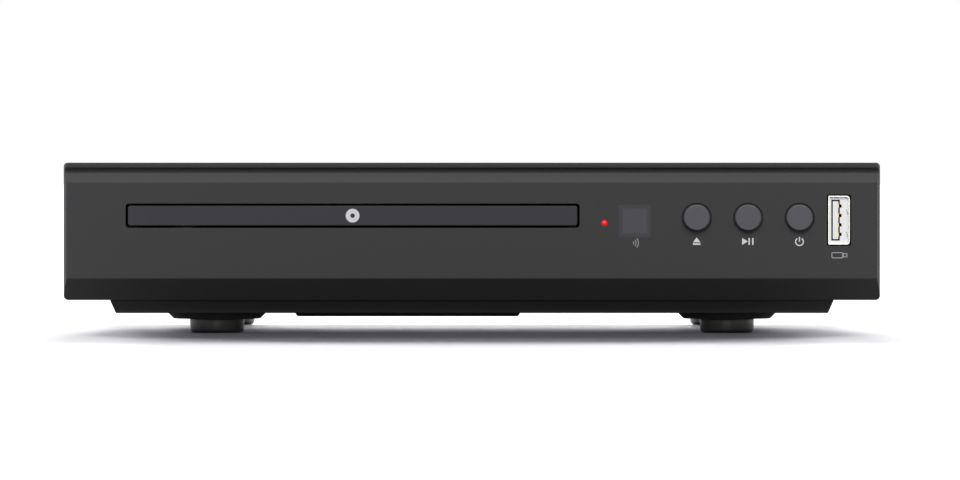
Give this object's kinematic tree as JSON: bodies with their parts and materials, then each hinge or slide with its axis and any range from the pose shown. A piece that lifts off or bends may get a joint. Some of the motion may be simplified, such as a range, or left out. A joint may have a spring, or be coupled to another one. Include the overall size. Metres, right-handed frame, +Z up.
{
  "type": "disc player",
  "caption": "Low tabletop disc player with a motorised loading tray, round push buttons, a front data socket, a disc loader and boards inside.",
  "frame": {"origin": "on the surface that the feet stand on, under the middle of the bounding box", "axes": "+X to the viewer's right of the fascia, +Y towards the rear sockets, +Z up"},
  "size_m": [0.225, 0.202, 0.0472],
  "materials": {
    "fascia_plastic": "spark-textured ABS",
    "button_plastic": "satin ABS",
    "painted_sheet": "fine-textured powder coat on steel sheet",
    "foot_rubber": "moulded",
    "zinc_screws": "zinc plated",
    "plunger_plastic": "moulded",
    "switch_metal": "tinned",
    "board_green": "solder resist on glass epoxy",
    "board_tan": "phenolic paper",
    "red_lens": "clear tinted epoxy",
    "window_plastic": "tinted polycarbonate",
    "black_moulding": "moulded",
    "nickel_steel": "nickel plated",
    "white_moulding": "moulded acetal",
    "gold_plate": "plated",
    "tray_plastic": "moulded ABS",
    "ground_steel": "ground",
    "belt_rubber": "moulded",
    "motor_steel": "zinc plated",
    "grey_moulding": "moulded",
    "galvanised_sheet": "galvanised",
    "lens_glass": "coated acrylic",
    "magnet_ferrite": "sintered",
    "transformer_tape": "polyester tape",
    "capacitor_sleeve": "heat-shrink sleeve",
    "red_wire": "PVC sleeve"
  },
  "bodies": {
    "case": {"fascia": "fascia_plastic", "top_cover": "painted_sheet", "base_pan": "painted_sheet", "rear_panel": "painted_sheet", "rubber_feet": "foot_rubber", "cover_screws": "zinc_screws", "switch_bodies": "switch_metal", "front_board": "board_green", "status_lamp": "red_lens", "sensor_window": "window_plastic", "remote_sensor": "black_moulding", "data_shell": "nickel_steel", "data_tongue": "white_moulding", "data_contacts": "gold_plate", "loader_frame": "black_moulding", "drive_belt": "belt_rubber", "tray_motor": "motor_steel", "clamp_bridge": "galvanised_sheet", "loader_screws": "zinc_screws", "main_board": "board_green", "main_chips": "black_moulding", "video_socket": "nickel_steel", "av_block": "black_moulding", "av_sleeves": "gold_plate", "power_board": "board_tan", "transformer": "transformer_tape", "capacitors": "capacitor_sleeve", "mains_inlet": "black_moulding", "inlet_pins": "nickel_steel", "board_screws": "zinc_screws", "front_ribbon": "white_moulding", "power_ribbon": "red_wire"},
    "tray": {"disc_tray": "tray_plastic", "tray_door": "fascia_plastic"},
    "drive_gear": {"drive_gear": "white_moulding"},
    "pulley_gear": {"pulley_gear": "white_moulding"},
    "motor_pulley": {"motor_pulley": "white_moulding", "motor_shaft": "ground_steel"},
    "traverse": {"lift_frame": "grey_moulding", "traverse_plate": "galvanised_sheet", "dampers": "belt_rubber", "damper_screws": "zinc_screws", "spindle_motor": "motor_steel", "guide_rods": "ground_steel", "feed_motor": "motor_steel"},
    "cam": {"cam_slider": "white_moulding"},
    "turntable": {"turntable": "grey_moulding"},
    "sled": {"pickup_sled": "grey_moulding", "pickup_lens": "lens_glass"},
    "feed_screw": {"feed_screw": "ground_steel"},
    "clamp": {"disc_clamp": "white_moulding", "clamp_magnet": "magnet_ferrite"},
    "eject": {"eject_button": "button_plastic", "eject_plunger": "plunger_plastic"},
    "play": {"play_button": "button_plastic", "play_plunger": "plunger_plastic"},
    "power": {"power_button": "button_plastic", "power_plunger": "plunger_plastic"}
  },
  "joints": [
    {"name": "tray_slide", "type": "slide", "parent": "case", "child": "tray", "axis": [0, -1, 0], "range_m": [0, 0.128]},
    {"name": "drive_gear_spin", "type": "hinge", "parent": "case", "child": "drive_gear", "pos_m": [-0.07994, -0.072, 0.0302], "axis": [0, 0, 1], "range_deg": [-2, 817]},
    {"name": "pulley_gear_spin", "type": "hinge", "parent": "case", "child": "pulley_gear", "pos_m": [-0.06514, -0.072, 0.0302], "axis": [0, 0, 1], "range_deg": [-1703, 5]},
    {"name": "motor_pulley_spin", "type": "hinge", "parent": "case", "child": "motor_pulley", "pos_m": [-0.02494, -0.0704, 0.0302], "axis": [0, 0, 1], "range_deg": [-5335, 15]},
    {"name": "traverse_tilt", "type": "hinge", "parent": "case", "child": "traverse", "pos_m": [-0.03284, 0.062, 0.022], "axis": [1, 0, 0], "range_deg": [0, 4.43]},
    {"name": "cam_slide", "type": "slide", "parent": "case", "child": "cam", "axis": [1, 0, 0], "range_m": [0, 0.0161]},
    {"name": "turntable_spin", "type": "hinge", "parent": "traverse", "child": "turntable", "pos_m": [-0.03284, -0.0325, 0.035], "axis": [0, 0, 1], "continuous": true},
    {"name": "sled_slide", "type": "slide", "parent": "traverse", "child": "sled", "axis": [0, 1, 0], "range_m": [0, 0.034]},
    {"name": "feed_screw_spin", "type": "hinge", "parent": "traverse", "child": "feed_screw", "pos_m": [0.00116, -0.0085, 0.02], "axis": [0, 1, 0], "range_deg": [-5, 4086]},
    {"name": "clamp_spin", "type": "hinge", "parent": "case", "child": "clamp", "pos_m": [-0.03284, -0.0325, 0.0385], "axis": [0, 0, 1], "continuous": true},
    {"name": "eject_press", "type": "slide", "parent": "case", "child": "eject", "axis": [0, 1, 0], "range_m": [0, 0.0005], "stiffness_N_per_m": 900, "springref_m": -0.0002},
    {"name": "play_press", "type": "slide", "parent": "case", "child": "play", "axis": [0, 1, 0], "range_m": [0, 0.0005], "stiffness_N_per_m": 900, "springref_m": -0.0002},
    {"name": "power_press", "type": "slide", "parent": "case", "child": "power", "axis": [0, 1, 0], "range_m": [0, 0.0005], "stiffness_N_per_m": 900, "springref_m": -0.0002}
  ],
  "couplings": [
    {"joint": "drive_gear_spin", "follows": "tray_slide", "rad_per_m": 111.11},
    {"joint": "pulley_gear_spin", "follows": "tray_slide", "rad_per_m": -231.48},
    {"joint": "motor_pulley_spin", "follows": "tray_slide", "rad_per_m": -725.31},
    {"joint": "cam_slide", "follows": "traverse_tilt", "m_per_rad": 0.20694},
    {"joint": "feed_screw_spin", "follows": "sled_slide", "rad_per_m": 2094.4}
  ]
}
